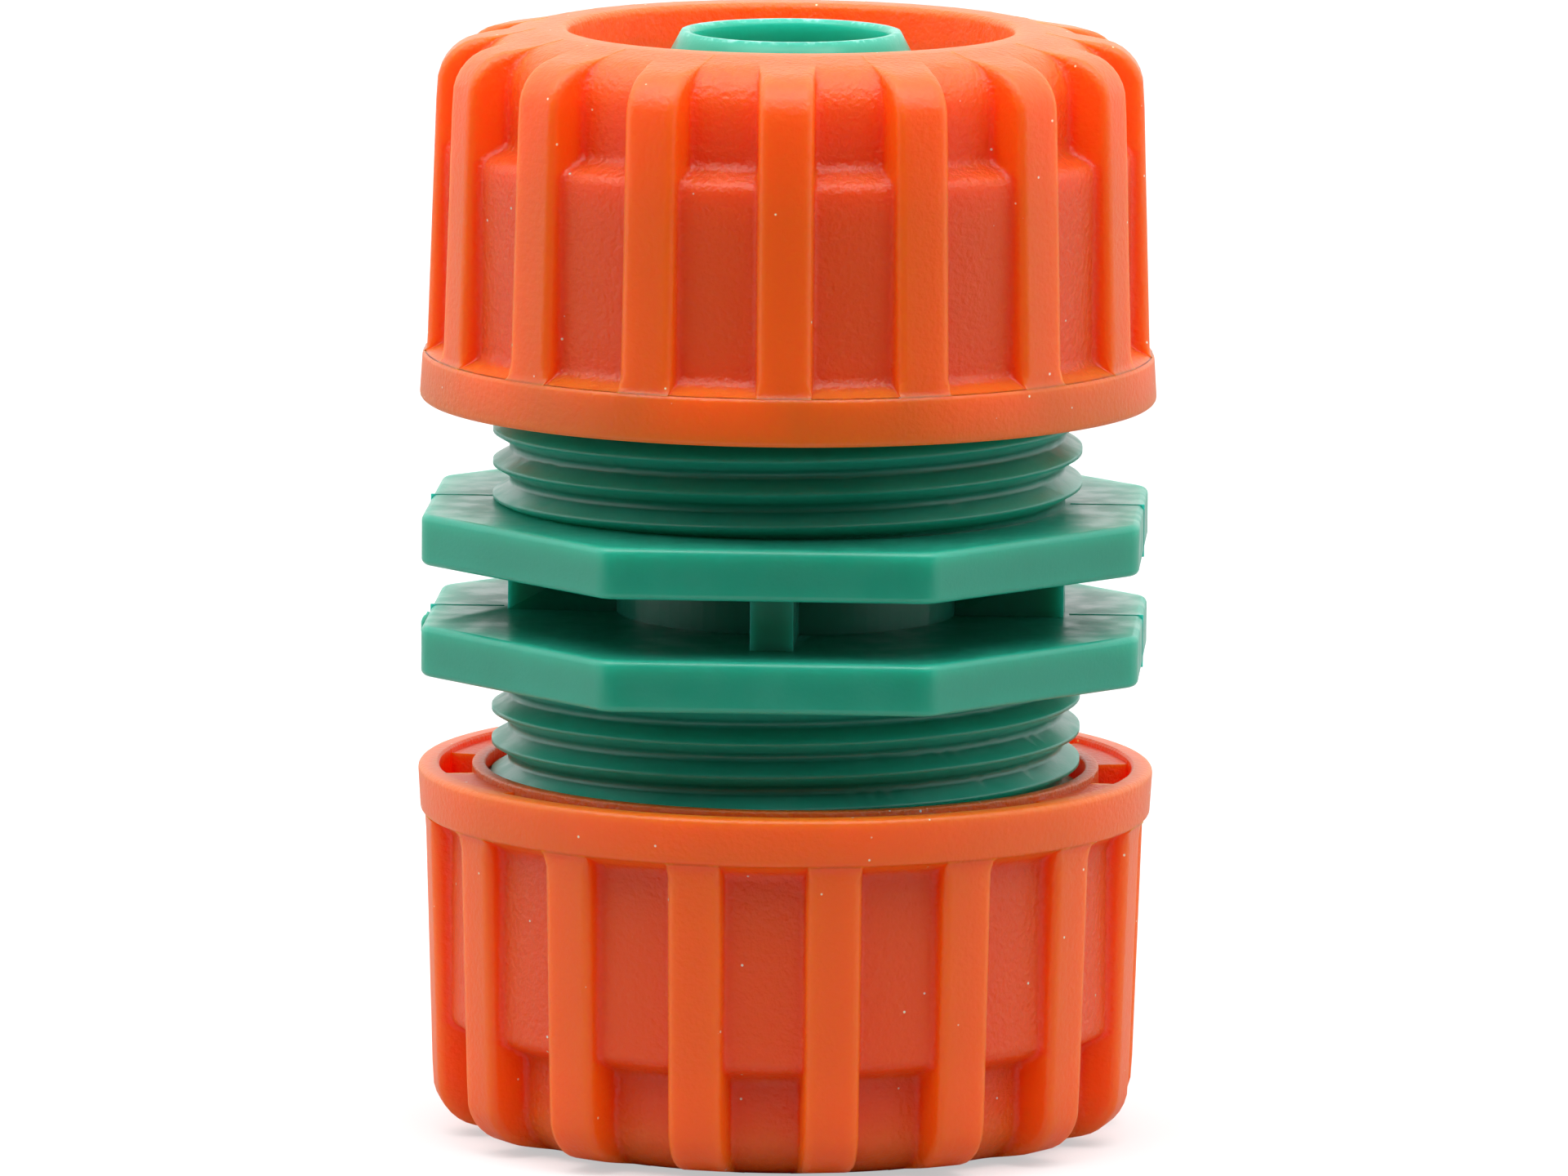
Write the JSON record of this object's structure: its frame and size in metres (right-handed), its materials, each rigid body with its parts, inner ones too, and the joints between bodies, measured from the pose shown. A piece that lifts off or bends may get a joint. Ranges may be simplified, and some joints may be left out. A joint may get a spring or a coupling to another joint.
{
  "type": "hose mender",
  "caption": "Hose mender for 12.7 mm garden hose: barbed tails in threaded sleeves, with ribbed clamping nuts.",
  "frame": {"origin": "middle of the body on the axis of the waterway, halfway between the two nut ends", "axes": "+Z along the waterway towards the upper hose; +X and -Y square to flats of the flange plates; the mould's parting plane is Y = 0"},
  "size_m": [0.038, 0.038, 0.0574],
  "materials": {
    "body_green": "moulded polypropylene, dark green, fine satin grain with some gloss",
    "nut_orange": "moulded polypropylene, orange-red, fine satin grain with some gloss",
    "collet_white": "moulded acetal, natural white"
  },
  "bodies": {
    "hose_body": {"hose_body": "body_green"},
    "upper_collet": {"upper_collet": "collet_white"},
    "upper_nut": {"upper_nut": "nut_orange"},
    "lower_collet": {"lower_collet": "collet_white"},
    "lower_nut": {"lower_nut": "nut_orange"}
  },
  "joints": [
    {"name": "upper_collet_slide", "type": "slide", "parent": "hose_body", "child": "upper_collet", "axis": [0, 0, 1], "range_m": [-0.005, 0.0066]},
    {"name": "upper_nut_turn", "type": "hinge", "parent": "upper_collet", "child": "upper_nut", "pos_m": [0, 0, 0], "axis": [0, 0, 1], "range_deg": [-1059, 1398]},
    {"name": "lower_collet_slide", "type": "slide", "parent": "hose_body", "child": "lower_collet", "axis": [0, 0, -1], "range_m": [-0.005, 0.0066]},
    {"name": "lower_nut_turn", "type": "hinge", "parent": "lower_collet", "child": "lower_nut", "pos_m": [0, 0, 0], "axis": [0, 0, -1], "range_deg": [-1059, 1398]}
  ],
  "couplings": [
    {"joint": "upper_nut_turn", "follows": "upper_collet_slide", "rad_per_m": 3696},
    {"joint": "lower_nut_turn", "follows": "lower_collet_slide", "rad_per_m": 3696}
  ]
}
